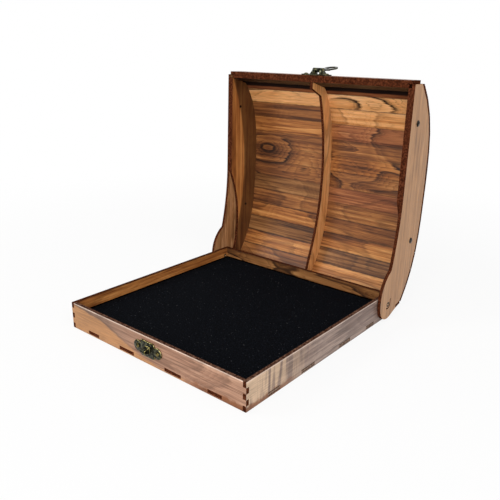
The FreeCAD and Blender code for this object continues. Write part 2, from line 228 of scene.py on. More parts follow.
def add_relief(tree, shader, height, strength, distance):
    """Relief on a surface, from a height mask."""
    bump = add(tree, "ShaderNodeBump", {"Height": height, "Strength": strength, "Distance": distance})
    connect(tree, shader.inputs["Normal"], bump.outputs[0])


print("colour helpers ready")

# %% [markdown]
# The world
# The box stands in a white room.  The world is plain white where the camera or a shiny surface looks at
# it, and dimmer where it lights the object, so that the background stays white without washing out the
# wood.

# %% World
SKY_LEVEL = 0.55
WHITE = (1, 1, 1, 1)


def seen_directly(tree):
    """1 where the camera, a reflection or a view through glass looks at the surface."""
    light_path = tree.nodes.new("ShaderNodeLightPath").outputs
    direct = maths(tree, "MAXIMUM", light_path["Is Camera Ray"], light_path["Is Glossy Ray"])
    return maths(tree, "MAXIMUM", direct, light_path["Is Transmission Ray"])


def make_world():
    world = bpy.data.worlds.new("studio")
    world.use_nodes = True
    tree = world.node_tree
    sky = tree.nodes["Background"]
    sky.inputs["Color"].default_value = WHITE
    connect(tree, sky.inputs["Strength"], ease(tree, seen_directly(tree), 0.0, 1.0, SKY_LEVEL, 1.0))
    bpy.context.scene.world = world


make_world()
print("world level:", SKY_LEVEL)

# %% [markdown]
# The floor
# A pale table top takes the soft shadow of the box.  A plain matt plane would show its own shading all the
# way to the horizon, so this one is matt close to the box and glows white further off.

# %% Floor
FLOOR_HALF = 40.0
FLOOR_DROP = 0.2 * MM
FLOOR_COLOUR = (0.9, 0.9, 0.9, 1)
FLOOR_GLOW = 0.86
SHADOW_REACH = (0.25, 0.7)


def floor_material():
    """A matt floor that keeps the shadow near the object and glows white further off."""
    material, tree, shader, where = new_material("pale floor")
    tree.nodes.remove(shader)
    matt = add(tree, "ShaderNodeBsdfDiffuse", {"Color": FLOOR_COLOUR})
    glow = add(tree, "ShaderNodeEmission", {"Color": WHITE})
    glow_share = ease(tree, length_of(tree, where), *SHADOW_REACH, FLOOR_GLOW, 1.0)
    share = maths(tree, "MULTIPLY", seen_directly(tree), glow_share)
    mixed = add(tree, "ShaderNodeMixShader", {0: share, 1: matt.outputs[0], 2: glow.outputs[0]})
    tree.links.new(mixed.outputs[0], tree.nodes["Material Output"].inputs["Surface"])
    return material


def make_floor():
    mesh = bpy.data.meshes.new("floor")
    corners = [(-1, -1), (1, -1), (1, 1), (-1, 1)]
    places = [(x * FLOOR_HALF, y * FLOOR_HALF, -FLOOR_DROP) for x, y in corners]
    mesh.from_pydata(places, [], [(0, 1, 2, 3)])
    mesh.materials.append(floor_material())
    floor = bpy.data.objects.new("floor", mesh)
    bpy.context.scene.collection.objects.link(floor)


make_floor()
print("floor:", 2 * FLOOR_HALF, "m across")

# %% [markdown]
# Lamps
# Soft light comes from the front, with a weaker lamp high on the right and a small fill on the left that
# opens up the inside of the lid.  A sun or a point lamp would draw hard shadows, so these are area lamps.

# %% Lamps
OBJECT_MIDDLE = Vector((0, 0, 90)) * MM
LAMPS = (  # name, place in metres, size in metres, watts
    ("front key", (0.55, -1.5, 0.55), 0.9, 14.0),
    ("high right", (1.2, -0.5, 1.2), 0.9, 8.0),
    ("left fill", (-0.85, -0.7, 0.8), 0.45, 3.5),
)


def softbox(name, place, size, watts):
    lamp = bpy.data.lights.new(name, "AREA")
    lamp.energy = watts
    lamp.size = size
    made = bpy.data.objects.new(name, lamp)
    bpy.context.scene.collection.objects.link(made)
    place = Vector(place)
    turn = (OBJECT_MIDDLE - place).to_track_quat("-Z", "Y")
    made.matrix_world = Matrix.Translation(place) @ turn.to_matrix().to_4x4()


for lamp_row in LAMPS:
    softbox(*lamp_row)
print("lamps:", len(LAMPS))

# %% [markdown]
# Growth rings
# The rings of walnut flow along the board, and each darkens slowly and ends sharply.  A wave texture
# would keep them straight and even, so here they are steps of a smooth noise field: the field counts
# turns, and the fraction of a turn is how far its ring has grown.

# %% Growth rings
RING_SLOW = (0.05, 0.92)
RING_LATE = (0.74, 0.92)
RING_END = (0.94, 1.0)


def growth_ring(tree, turns):
    """Masks of one set of rings: its slow darkening, and the thin late wood at its end."""
    growth = maths(tree, "FRACT", turns)
    sharp_end = ease(tree, growth, *RING_END, 1.0, 0.0)
    slow = maths(tree, "MULTIPLY", ease(tree, growth, *RING_SLOW), sharp_end)
    late_wood = maths(tree, "MULTIPLY", ease(tree, growth, *RING_LATE), sharp_end)
    return slow, late_wood


print("late wood starts at", RING_LATE[0], "of a ring")

# %% [markdown]
# Eyes
# Round an old knot the rings close into an eye, and two eyes lie over the crown of this lid.  Painted
# ellipses would leave the rings beside them straight.  Raising the noise field over each eye makes the
# rings themselves close round it.

# %% Eyes
SEED_STEP = Vector((0.37, 0.19, 0.23))
SLAT_PITCH = 16.2 * MM
CROWN_SEED = 4
EYE_PLACES = ((-80 * MM, 4.7), (30 * MM, 5.0))  # along the grain, and slats down from the first
EYES = [SEED_STEP * CROWN_SEED + Vector((along, slats * SLAT_PITCH, 0)) for along, slats in EYE_PLACES]
EYE_STRETCH = (0.85, 1.7, 0.0)
EYE_WARP = 75 * MM
EYE_SPAN = (30 * MM, 79.5 * MM)
EYE_RISE = 0.34
EYE_DARK = -0.24
FIELD_STRETCH = (9.0, 24.0, 24.0)


def eye_heart(tree, place, eye, warp):
    """1 in the heart of an eye, falling to 0 along an edge that the warp noise bends."""
    away = length_of(tree, stretch(tree, offset(tree, place, eye), EYE_STRETCH))
    return ease(tree, maths(tree, "MULTIPLY_ADD", warp, EYE_WARP, away), *EYE_SPAN, 1.0, 0.0)


def ring_field(tree, place, swirl):
    """The field whose steps are the rings, raised over the eyes, and the darkness of the eyes."""
    smooth = cloud(tree, place, FIELD_STRETCH, detail=1.0, roughness=0.4, distortion=swirl)
    field = smooth
    dark = 0.0
    for eye in EYES:
        heart = eye_heart(tree, place, eye, smooth)
        field = maths(tree, "MULTIPLY_ADD", heart, EYE_RISE, field)
        dark = maths(tree, "MULTIPLY_ADD", heart, EYE_DARK, dark)
    return field, dark


print("eyes:", [list(eye) for eye in EYES])

# %% [markdown]
# Straight grain
# Between the rings walnut has broad bands of tone and finer streaks, both drawn out along the grain.
# Noise has no direction of its own, so it is squeezed across the grain much more than along it.

# %% Straight grain
BAND_STRETCH = (8.0, 90.0, 90.0)
BAND_SPAN = (0.32, 0.68)
STREAK_STRETCH = (10.0, 420.0, 420.0)
STREAK_SPAN = (0.36, 0.64)


def straight_grain(tree, place):
    """Masks of the broad bands and of the streaks."""
    bands = cloud(tree, place, BAND_STRETCH, detail=3.0, roughness=0.55, distortion=0.3)
    streaks = cloud(tree, place, STREAK_STRETCH, detail=3.0, roughness=0.6)
    return ease(tree, bands, *BAND_SPAN), ease(tree, streaks, *STREAK_SPAN)


print("bands are", round(BAND_STRETCH[1] / BAND_STRETCH[0], 1), "times as long as wide")

# %% [markdown]
# Walnut figure
# One shader group mixes the bands, the streaks, the rings and the finest fibres, so every veneer on the
# box is the same wood, and differs in where it was cut, how its rings run and which palette it takes.

# %% Walnut figure group
BAND_BEND = 0.2
BAND_SHARE = 0.45
STREAK_BEND = 0.1
STREAK_SHARE = 0.55
FIBRE_STRETCH = (60.0, 1300.0, 1300.0)
PATCH_STRETCH = (13.0, 30.0, 30.0)
PATCH_SPAN = (0.36, 0.56)
FINE_RINGS = 4.3
FINE_DEPTH = -0.4
BROAD_DEPTH = -0.6
FINE_LINE = 0.35


def make_walnut_figure():
    """Place is in metres with the grain along X; the outputs are masks from 0 to 1."""
    inputs = {"Place": (0.0, 0.0, 0.0), "Rings": 1.0, "Swirl": 1.0, "Ring Share": 1.0}
    tree, start, end = group("walnut_figure", inputs, ("Tone", "Line", "Fibre"))
    place = start["Place"]
    bands, streaks = straight_grain(tree, place)
    field, dark = ring_field(tree, place, start["Swirl"])
    turns = maths(tree, "MULTIPLY", field, start["Rings"])
    turns = maths(tree, "MULTIPLY_ADD", bands, BAND_BEND, turns)
    turns = maths(tree, "MULTIPLY_ADD", streaks, STREAK_BEND, turns)
    broad, broad_end = growth_ring(tree, turns)
    fine, fine_end = growth_ring(tree, maths(tree, "MULTIPLY", turns, FINE_RINGS))
    straight = maths(tree, "MULTIPLY", streaks, STREAK_SHARE)
    straight = maths(tree, "MULTIPLY_ADD", bands, BAND_SHARE, straight)
    swirled = maths(tree, "MULTIPLY_ADD", fine, FINE_DEPTH, 1.0)
    swirled = maths(tree, "MULTIPLY_ADD", broad, BROAD_DEPTH, swirled)
    kept = maths(tree, "MULTIPLY", straight, maths(tree, "SUBTRACT", 1.0, start["Ring Share"]))
    tone = maths(tree, "MULTIPLY_ADD", swirled, start["Ring Share"], kept)
    patchy = ease(tree, cloud(tree, place, PATCH_STRETCH, detail=1.0), *PATCH_SPAN)
    lines = maths(tree, "MULTIPLY_ADD", fine_end, FINE_LINE, broad_end)
    connect(tree, end["Tone"], maths(tree, "ADD", tone, dark))
    connect(tree, end["Line"], maths(tree, "MULTIPLY", lines, patchy))
    connect(tree, end["Fibre"], cloud(tree, place, FIBRE_STRETCH, detail=3.0, roughness=0.6))
    return tree


WALNUT_FIGURE = make_walnut_figure()
print("walnut figure group:", len(WALNUT_FIGURE.nodes), "nodes")

# %% [markdown]
# Scorched margins
# Beside each cut the laser's heat browns the face for about a millimetre.  A group turns the distance
# from a board's middle line into that margin, so that the slats and walls show a dark line along their
# long edges.

# %% Scorched margin group
MARGIN_STRETCH = (120.0, 10.0, 10.0)
MARGIN_WANDER = (0.2, 0.8)
MARGIN_REACH = (0.455 * MM, 1.82 * MM)
MARGIN_FADE = (0.15, 1.0)


def make_scorched_margin():
    inputs = {"Place": (0.0, 0.0, 0.0), "Half Width": 1.0}
    tree, start, end = group("scorched_margin", inputs, ("Margin",))
    across = maths(tree, "ABSOLUTE", split(tree, start["Place"])["Y"])
    inset = maths(tree, "SUBTRACT", start["Half Width"], across)
    wander = cloud(tree, start["Place"], MARGIN_STRETCH)
    reach = ease(tree, wander, *MARGIN_WANDER, *MARGIN_REACH)
    connect(tree, end["Margin"], ease(tree, maths(tree, "DIVIDE", inset, reach), *MARGIN_FADE, 1.0, 0.0))
    return tree


SCORCHED_MARGIN = make_scorched_margin()
print("scorched margin group:", len(SCORCHED_MARGIN.nodes), "nodes")

# %% [markdown]
# Board frames
# Each board is its own piece of veneer, so each gets its own material.  A Mapping node lays the board
# flat: X runs along the grain, Y across it and Z through the thickness.  The direction with the most face
# area is the one through the thickness, and the grain is given, so the frame follows from the mesh.

# %% Board frames
GRAIN = {"X": Vector((1, 0, 0)), "Y": Vector((0, 1, 0)), "Z": Vector((0, 0, 1))}


def corners_of(points):
    """The lowest and highest corner of a box round some points."""
    low = Vector([min(p[i] for p in points) for i in range(3)])
    high = Vector([max(p[i] for p in points) for i in range(3)])
    return low, high


def through_direction(mesh):
    """The direction through a board's thickness, in which its faces have the most area."""
    areas = {}
    for face in mesh.polygons:
        lead = max(face.normal, key=abs)
        key = tuple(round(c * math.copysign(1, lead), 2) for c in face.normal)
        areas[key] = areas.get(key, 0.0) + face.area
    return Vector(max(areas, key=areas.get)).normalized()


def board_frame(node, grain):
    """The turn that lays a board flat, its middle in that turned frame, and half its width."""
    mesh = nodes[node].data
    through = through_direction(mesh)
    across = through.cross(GRAIN[grain]).normalized()
    turn = Matrix((across.cross(through), across, through))
    low, high = corners_of([turn @ vertex.co for vertex in mesh.vertices])
    return turn, (low + high) / 2, (high.y - low.y) / 2


print("half width of the front wall:", round(board_frame("base_front_panel", "X")[2] / MM, 1), "mm")

# %% [markdown]
# Palettes
# The veneers of the box run from honey to mauve.  A few palettes cover them, each with four tones from the
# darkest band of its wood to the palest, so that one mask from 0 to 1 can colour any board.  The last
# palette is no wood: it is near-black painted shade for the lid's front liner.

# %% Palettes
PALETTES = {
    "honey": ("5a3016", "a2622e", "cf8c4e", "e6ab6c"),
    "amber": ("4a2812", "8f5428", "b9783e", "d79858"),
    "chestnut": ("3a2010", "774625", "a06636", "c0864e"),
    "umber": ("2e190c", "684020", "906036", "b07e4c"),
    "beige": ("8a6444", "a87c56", "b78a62", "c49a72"),
    "fawn": ("5c3a22", "96683f", "b58358", "c89c72"),
    "rose": ("6a4a38", "946c55", "b0866c", "c29a80"),
    "mauve": ("55433a", "7c665c", "9a8478", "b49e90"),
    "light": ("b06c34", "dc9a5c", "eaac70", "f2be8a"),
    "russet": ("3c2012", "82492a", "a4653c", "bd8050"),
    # No wood: near-black painted shade for the lid's front liner, which lies in deep shade.
    "painted_shadow": ("0c0604", "1a0d08", "27140c", "38200f"),
}
LINE_COLOUR = paint("24130a")
print("palettes:", ", ".join(PALETTES))

# %% [markdown]
# Veneers
# The ring lines, the fine fibres and the scorched margin darken the palette's colour, and the fibres also
# drive the sheen and a slight relief.  One function makes every veneer, because only its numbers and its
# marks change from board to board.

# %% Veneers
FIBRE_SPAN = (0.25, 0.75)
FIBRE_SHADE = (0.7, 1.12)
FIBRE_RELIEF = 0.25
RELIEF_DEPTH = 0.12 * MM
POLISH_SPAN = (0.2, 0.8)
POLISH_LESS = 0.06
POLISH_MORE = 0.12
BOARD_POLISH = 0.42
WOOD_SHEEN = 0.3
EDGE_SCORCH = 0.75


def walnut(name, node, grain, palette, seed, rings, swirl, share, line, extra,
           polish=BOARD_POLISH, shift=0.0, scorch=EDGE_SCORCH):
    """One veneer.  shift moves the figure across the board, and extra adds a board's own marks."""
    material, tree, shader, where = new_material(name)
    turn, middle, half_width = board_frame(node, grain)
    flat = add(tree, "ShaderNodeMapping", {"Vector": where, "Rotation": turn.to_euler("XYZ"),
                                           "Location": -middle}).outputs[0]
    moved = offset(tree, flat, -SEED_STEP * seed - Vector((0, shift, 0)))
    figure = place_group(tree, WALNUT_FIGURE, {"Place": moved, "Rings": rings, "Swirl": swirl,
                                               "Ring Share": share})
    colour = ramp(tree, figure["Tone"], PALETTES[palette])
    if extra:
        colour = extra(tree, where, figure, colour)
    colour = blend_colours(tree, maths(tree, "MULTIPLY", figure["Line"], line), colour, LINE_COLOUR)
    shade = ease(tree, figure["Fibre"], *FIBRE_SPAN, *FIBRE_SHADE)
    grey = add(tree, "ShaderNodeCombineColor", {"Red": shade, "Green": shade, "Blue": shade})
    colour = blend_colours(tree, 1.0, colour, grey.outputs[0], "MULTIPLY")
    margin = place_group(tree, SCORCHED_MARGIN, {"Place": flat, "Half Width": half_width})["Margin"]
    colour = blend_colours(tree, maths(tree, "MULTIPLY", margin, scorch), colour, LINE_COLOUR)
    connect(tree, shader.inputs["Base Color"], colour)
    roughness = ease(tree, figure["Fibre"], *POLISH_SPAN, polish - POLISH_LESS, polish + POLISH_MORE)
    connect(tree, shader.inputs["Roughness"], roughness)
    shader.inputs["Specular IOR Level"].default_value = WOOD_SHEEN
    add_relief(tree, shader, figure["Fibre"], FIBRE_RELIEF, RELIEF_DEPTH)
    return material


print("polish of the boards:", BOARD_POLISH)

# %% [markdown]
# Marks of single boards
# Some boards have marks of their own.  Each mark is a function that takes a colour and gives it back
# changed, so the veneer function needs to know nothing about it.  Smoke browned the foot of the tray's
# front and right walls near the corner that they share, and their top corners get a pale painted
# highlight.

# %% Foot stains and painted highlights on the top corners
FRONT_WALL = "base_front_panel"
RIGHT_WALL = "base_right_panel"
FOOT_COLOUR = paint("7a4216")
FOOT_STRETCH = (160.0, 160.0, 160.0)
FOOT_RISE = 8 * MM
FOOT_SPAN = (-1.6 * MM, 1.6 * MM)
FOOT_SHARE = 0.85
FOOT_REACH = 70 * MM
RIM_HIGHLIGHT_COLOUR = paint("f0d8c6")
RIM_HIGHLIGHT_BAND = 1.3 * MM
RIM_HIGHLIGHT_SHARE = 0.6


def foot_stain(tree, where, near, colour):
    """Brown smoke that the laser left along the foot of two walls, close to their shared corner."""
    wander = cloud(tree, where, FOOT_STRETCH, detail=3.0)
    uneven = maths(tree, "MULTIPLY_ADD", wander, -FOOT_RISE, split(tree, where)["Z"])
    stain = maths(tree, "MULTIPLY", ease(tree, uneven, *FOOT_SPAN, FOOT_SHARE, 0.0), near)
    return blend_colours(tree, stain, colour, FOOT_COLOUR)


def painted_rim_highlight(tree, where, wall, colour):
    """A pale painted highlight along a tray wall's top corner, where the light catches it."""
    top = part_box(wall)[1].z
    # This mask paints a highlight along the wall's top corner.
    rubbed = ease(tree, split(tree, where)["Z"], top - RIM_HIGHLIGHT_BAND, top - RIM_HIGHLIGHT_BAND / 2, 0.0, RIM_HIGHLIGHT_SHARE)
    return blend_colours(tree, rubbed, colour, RIM_HIGHLIGHT_COLOUR)


# %% [markdown]
# Soot and painted shade round the hinge pins
# Through the spring slit of each ear, the tray's wall shows black round the pin: partly soot, and partly
# painted shade for the dark gap behind the ear.  A thin disc on the wall would stand proud, and this
# dark has no thickness, so it is a mask: near the pin's axis, and on the wall's outer face only.  The
# ears are scorched brown round the holes of the pins, with the same colour.

# %% Soot and painted shade round the hinge pins
SOOT_AND_SHADE_COLOUR = paint("0a0504")
SOOT_AND_SHADE_REACH = (7.5 * MM, 9 * MM)
SOOT_AND_SHADE_DEPTH = 1 * MM
HOLE_SCORCH = (2.1 * MM, 2.7 * MM)
HOLE_SHARE = 0.95
SIDE_VIEW = (0, 1, 1)


def middle_of(node):
    low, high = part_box(node)
    return (low + high) / 2


def axis_distance(tree, where, middle):
    """How far a point is from the line along X through a middle."""
    return length_of(tree, stretch(tree, offset(tree, where, middle), SIDE_VIEW))


def pin_soot_and_shade(tree, where, pin, wall, colour):
    """Soot and painted shade on a tray wall's outer face round a hinge pin, seen through the slit of the
    ear.
    """
    low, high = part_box(wall)
    outer = max(abs(low.x), abs(high.x))
    sideways = maths(tree, "ABSOLUTE", split(tree, where)["X"])
    outside = ease(tree, sideways, outer - SOOT_AND_SHADE_DEPTH, outer - SOOT_AND_SHADE_DEPTH / 2)
    # The black near the pin is partly soot and partly painted shade.
    near = ease(tree, axis_distance(tree, where, middle_of(pin)), *SOOT_AND_SHADE_REACH, 1.0, 0.0)
    return blend_colours(tree, maths(tree, "MULTIPLY", outside, near), colour, SOOT_AND_SHADE_COLOUR)


def left_wall_marks(tree, where, figure, colour):
    return pin_soot_and_shade(tree, where, "hinge_pin_left", "base_left_panel", colour)


def ear_scorch(pin):
    """A mark that browns an ear round the hole of its pin."""
    def brown(tree, where, figure, colour):
        away = axis_distance(tree, where, middle_of(pin))
        return blend_colours(tree, ease(tree, away, *HOLE_SCORCH, HOLE_SHARE, 0.0), colour, SOOT_AND_SHADE_COLOUR)
    return brown


print("hinge axis at", list(middle_of("hinge_pin_left")))

# %% [markdown]
# Sapwood of the front wall
# The front has orange sapwood at its lower left and a dark line between it and the heartwood.  Noise
# alone would scatter such patches, so the bound is a height that falls along the wall and wanders a
# little, and what lies below it takes the sapwood's colour.

# %% Sapwood of the front wall
HEART_COLOUR = paint("584439")
HEART_ENDS = (-100 * MM, 20 * MM)
HEART_SHARE = 0.8
SAP_COLOUR = paint("bb8552")
SAP_ENDS = (-100 * MM, 30 * MM)
SAP_HEIGHTS = (24 * MM, 1 * MM)
SAP_STRETCH = (45.0, 1.0, 45.0)
SAP_WANDER = 9 * MM
SAP_FADE = (-1 * MM, 3 * MM)
SAP_SHARE = 0.75
BOUND_WIDTH = (0.2 * MM, 1.3 * MM)
BOUND_SHARE = 0.4
BOUND_ENDS = (-50 * MM, -10 * MM)
BOUND_REST = 0.1


def front_marks(tree, where, figure, colour):
    spot = split(tree, where)
    heart = ease(tree, spot["X"], *HEART_ENDS, HEART_SHARE, 0.0)
    colour = blend_colours(tree, heart, colour, HEART_COLOUR)
    wander = cloud(tree, where, SAP_STRETCH, detail=3.0)
    wander = maths(tree, "MULTIPLY_ADD", wander, SAP_WANDER, -SAP_WANDER / 2)
    bound = maths(tree, "ADD", ease(tree, spot["X"], *SAP_ENDS, *SAP_HEIGHTS), wander)
    below = maths(tree, "SUBTRACT", bound, spot["Z"])
    colour = blend_colours(tree, ease(tree, below, *SAP_FADE, 0.0, SAP_SHARE), colour, SAP_COLOUR)
    edge = ease(tree, maths(tree, "ABSOLUTE", below), *BOUND_WIDTH, BOUND_SHARE, 0.0)
    edge = maths(tree, "MULTIPLY", edge, ease(tree, spot["X"], *BOUND_ENDS, 1.0, BOUND_REST))
    colour = blend_colours(tree, edge, colour, LINE_COLOUR)
    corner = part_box(FRONT_WALL)[1].x
    beside = ease(tree, spot["X"], corner - FOOT_REACH, corner - FOOT_REACH / 2)
    colour = foot_stain(tree, where, beside, colour)
    return painted_rim_highlight(tree, where, FRONT_WALL, colour)


print("sapwood falls from", round(SAP_HEIGHTS[0] / MM), "mm to", round(SAP_HEIGHTS[1] / MM), "mm")

# %% [markdown]
# Curl of the right wall
# Near the front corner the right wall's grain is curly, and pale and dark bars cross it.  Noise that is
# squeezed along the wall and drawn out upwards gives such bars, and they fade away from the corner.

# %% Curl of the right wall
CURL_GROUND = paint("a88c78")
CURL_PALE = paint("d8b898")
CURL_DARK = paint("5f4d42")
CURL_STRETCH = (1.0, 170.0, 16.0)
CURL_ENDS = (15 * MM, 95 * MM)
PALE_SPAN = (0.42, 0.58)
DARK_SPAN = (0.38, 0.5)
GROUND_SHARE = 0.55
PALE_SHARE = 0.85
DARK_SHARE = 0.4


def right_wall_marks(tree, where, figure, colour):
    along = split(tree, where)["Y"]
    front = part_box(RIGHT_WALL)[0].y
    near = ease(tree, along, front + CURL_ENDS[0], front + CURL_ENDS[1], 1.0, 0.0)
    curl = cloud(tree, where, CURL_STRETCH, detail=2.0, roughness=0.6, distortion=0.4)
    pale = maths(tree, "MULTIPLY", ease(tree, curl, *PALE_SPAN), near)
    dark = maths(tree, "MULTIPLY", ease(tree, curl, *DARK_SPAN, 1.0, 0.0), near)
    for mask, share, tint in ((near, GROUND_SHARE, CURL_GROUND), (pale, PALE_SHARE, CURL_PALE),
                              (dark, DARK_SHARE, CURL_DARK)):
        colour = blend_colours(tree, maths(tree, "MULTIPLY", mask, share), colour, tint)
    beside = ease(tree, along, front + FOOT_REACH / 2, front + FOOT_REACH, 1.0, 0.0)
    colour = foot_stain(tree, where, beside, colour)
    colour = painted_rim_highlight(tree, where, RIGHT_WALL, colour)
    return pin_soot_and_shade(tree, where, "hinge_pin_right", RIGHT_WALL, colour)


print("curl ends", round(CURL_ENDS[1] / MM), "mm from the corner")

# %% [markdown]
# Painted shade on the linings
# Close under the slats the lid's linings are darkened by a band of painted shade, where the slats shade
# them.  The slats follow a bow, so the band follows a circle through the middles of three slats.  The
# circle is worked out from the slats themselves, and would move with them.

# %% Painted shade on the linings
BAND_WIDTH = 21 * MM
BAND_FADE = (-2 * MM, 1 * MM)
LINING_SHADE_DARK = 0.7
BOW_SLATS = (2, 7, 12)


def circle_through(first, second, third):
    """Middle and radius of the circle through three points of the side view."""
    near = second - first
    far = third - first
    x = far.y * near.length_squared - near.y * far.length_squared
    y = near.x * far.length_squared - far.x * near.length_squared
    away = Vector((x, y)) / (2 * near.cross(far))
    return first + away, away.length


def slat_name(number):
    return "lid_slat_%02d" % number


BOW_MIDDLE, BOW_RADIUS = circle_through(*[middle_of(slat_name(n)).yz for n in BOW_SLATS])


# Painted shade: the lining is darkened in a band just inside the bow of the slats.
def painted_lining_shade(tree, where, figure, colour):
    away = axis_distance(tree, where, (0, *BOW_MIDDLE))
    start = BOW_RADIUS - BAND_WIDTH
    band = ease(tree, away, start + BAND_FADE[0], start + BAND_FADE[1], 0.0, LINING_SHADE_DARK)
    return blend_colours(tree, band, colour, LINE_COLOUR)


print("bow circle radius:", round(BOW_RADIUS / MM, 1), "mm")

# %% [markdown]
# Scorched edges
# The laser leaves every cut edge dark red-brown with a dusting of soot.  The same finish goes on all the
# narrow faces, so one material serves every board.  The top faces of the tray's front and right rims take
# a paler finish as a painted highlight, and the ends of the floor's tabs show brown wood on the left and
# right walls.

# %% Scorched edges
CHAR_COLOURS = ("2a130a", "462213", "633622")
# The paler rim colours are a painted highlight on the lit top faces.
RIM_HIGHLIGHT_COLOURS = ("2a1811", "54382c", "785a4a")
TAB_COLOURS = ("4a382e", "7c6658", "a08a7c")
TAB_OUTLINE = (0.7 * MM, 1.2 * MM)
CHAR_STRETCH = (650.0, 650.0, 650.0)
CHAR_ROUGHNESS = (0.65, 0.85)
CHAR_RELIEF = 0.3
NO_RELIEF = 0.0


def make_cut_edge(name, colours, relief, mark=None):
    material, tree, shader, where = new_material(name)
    mottle = cloud(tree, where, CHAR_STRETCH, detail=4.0, roughness=0.65)
    colour = ramp(tree, ease(tree, mottle, *NOISE_SPAN), colours)
    if mark:
        colour = mark(tree, where, colour)
    connect(tree, shader.inputs["Base Color"], colour)
    connect(tree, shader.inputs["Roughness"], ease(tree, mottle, *NOISE_SPAN, *CHAR_ROUGHNESS))
    shader.inputs["Specular IOR Level"].default_value = 0.0
    add_relief(tree, shader, mottle, relief, RELIEF_DEPTH)
    return material


def tab_outline(tree, where, colour):
    """A dark line above and below the end of each tab."""
    rise = maths(tree, "SUBTRACT", split(tree, where)["Z"], middle_of("base_bottom_panel").z)
    outline = ease(tree, maths(tree, "ABSOLUTE", rise), *TAB_OUTLINE)
    return blend_colours(tree, outline, colour, LINE_COLOUR)


SCORCHED_EDGE = make_cut_edge("scorched edge", CHAR_COLOURS, CHAR_RELIEF)
HIGHLIT_RIM = make_cut_edge("painted highlight rim", RIM_HIGHLIGHT_COLOURS, CHAR_RELIEF)
TAB_END = make_cut_edge("tab end", TAB_COLOURS, NO_RELIEF, tab_outline)
print("edges:", SCORCHED_EDGE.name, HIGHLIT_RIM.name, TAB_END.name)

# %% [markdown]
# Dressing the boards
# The CAD mesh is left alone: only the material index of its faces is set, to the veneer on the two broad
# faces and to the scorched edge on every other face.

# %% Dress the boards
VENEER = 0  # places in the list of a board's materials
EDGE = 1
BROAD_FACE = 0.98
SQUARE_ON = 0.9
FAINT_SCORCH = 0.1
BOARDS = {  # grain, palette, seed, rings, swirl, share of rings, strength of lines, own marks
    FRONT_WALL: ("X", "rose", 3, 4.0, 0.5, 0.25, 0.2, front_marks),
    "base_back_panel": ("X", "umber", 8, 6.0, 0.9, 0.4, 0.9, None),
    "base_left_panel": ("Y", "amber", 12, 4.0, 0.4, 0.25, 0.2, left_wall_marks),
    RIGHT_WALL: ("Y", "mauve", 17, 4.0, 0.5, 0.25, 0.2, right_wall_marks),
    "base_bottom_panel": ("X", "chestnut", 21, 5.0, 0.6, 0.35, 0.5, None),
    "lid_left_outer_panel": ("Z", "fawn", 26, 4.0, 0.5, 0.35, 0.35, ear_scorch("hinge_pin_left")),
    "lid_right_outer_panel": ("Z", "beige", 31, 3.0, 0.3, 0.2, 0.05, ear_scorch("hinge_pin_right")),
    # The inner panels get a band of painted shade under the slats.
    "lid_left_inner_panel": ("Z", "amber", 35, 4.0, 0.4, 0.2, 0.2, painted_lining_shade),
    "lid_right_inner_panel": ("Z", "amber", 40, 4.0, 0.4, 0.2, 0.2, painted_lining_shade),
    "lid_middle_rib": ("Z", "light", 44, 4.0, 0.4, 0.3, 0.4, None),
    "lid_front_panel": ("X", "chestnut", 47, 5.0, 0.5, 0.3, 0.4, None),
    # The front liner lies in deep shade, and its near-black palette is painted shade.
    "lid_front_liner": ("X", "painted_shadow", 53, 4.0, 0.5, 0.3, 0.4, None),
}


def dress_board(node, face_material):
    mesh = nodes[node].data
    through = through_direction(mesh)
    mesh.materials.clear()
    mesh.materials.append(face_material)
    mesh.materials.append(SCORCHED_EDGE)
    for face in mesh.polygons:
        face.material_index = VENEER if abs(face.normal.dot(through)) > BROAD_FACE else EDGE


def repaint(node, material, chosen):
    """Gives one more material to the faces of a board that pass a test."""
    mesh = nodes[node].data
    mesh.materials.append(material)
    for face in mesh.polygons:
        if chosen(face):
            face.material_index = len(mesh.materials) - 1


for board, row in BOARDS.items():
    scorch = FAINT_SCORCH if board in (FRONT_WALL, RIGHT_WALL) else EDGE_SCORCH
    dress_board(board, walnut(board + " walnut", board, *row, scorch=scorch))
repaint("base_bottom_panel", TAB_END, lambda face: abs(face.normal.x) > SQUARE_ON)
# The top faces of the front and right walls get a pale painted highlight.
for board in (FRONT_WALL, RIGHT_WALL):
    repaint(board, HIGHLIT_RIM, lambda face: face.normal.z > SQUARE_ON)
print("dressed", len(BOARDS), "boards")

# %% [markdown]
# The slats
# The slats run the full width of the lid, and their tone changes along them: the right bay shows other
# colours than the left.  Each slat therefore has two palettes that meet under the rib.  The slats over
# the crown were cut from one swirling sheet, so they share a seed and their seams are faint; those
# towards the tail have straight, contrasting grain and darker seams.

# %% Dress the slats
SHOULDER_SEED = 8
SLATS = (  # left palette, right palette, seed, share of rings, strength of lines
    ("honey", "honey", 1, 0.2, 0.3),
    ("light", "light", 2, 0.4, 1.0),
    ("chestnut", "light", CROWN_SEED, 0.15, 0.35),
    ("amber", "russet", CROWN_SEED, 0.3, 0.8),
    ("chestnut", "chestnut", CROWN_SEED, 0.35, 1.0),
    ("chestnut", "amber", CROWN_SEED, 0.35, 1.0),
    ("chestnut", "chestnut", CROWN_SEED, 0.35, 0.9),
    ("umber", "russet", SHOULDER_SEED, 0.15, 0.3),
    ("chestnut", "chestnut", SHOULDER_SEED, 0.12, 0.3),
    ("amber", "chestnut", 9, 0.2, 0.4),
    ("umber", "amber", 10, 0.12, 0.3),
    ("amber", "umber", 11, 0.12, 0.3),
    ("chestnut", "honey", 12, 0.15, 0.4),
    ("amber", "amber", 13, 0.15, 0.4),
)
SLAT_RINGS = 5.0
SLAT_SWIRL = 1.0
SLAT_POLISH = 0.4
CROWN_SCORCH = 0.35
MEETING = 12 * MM


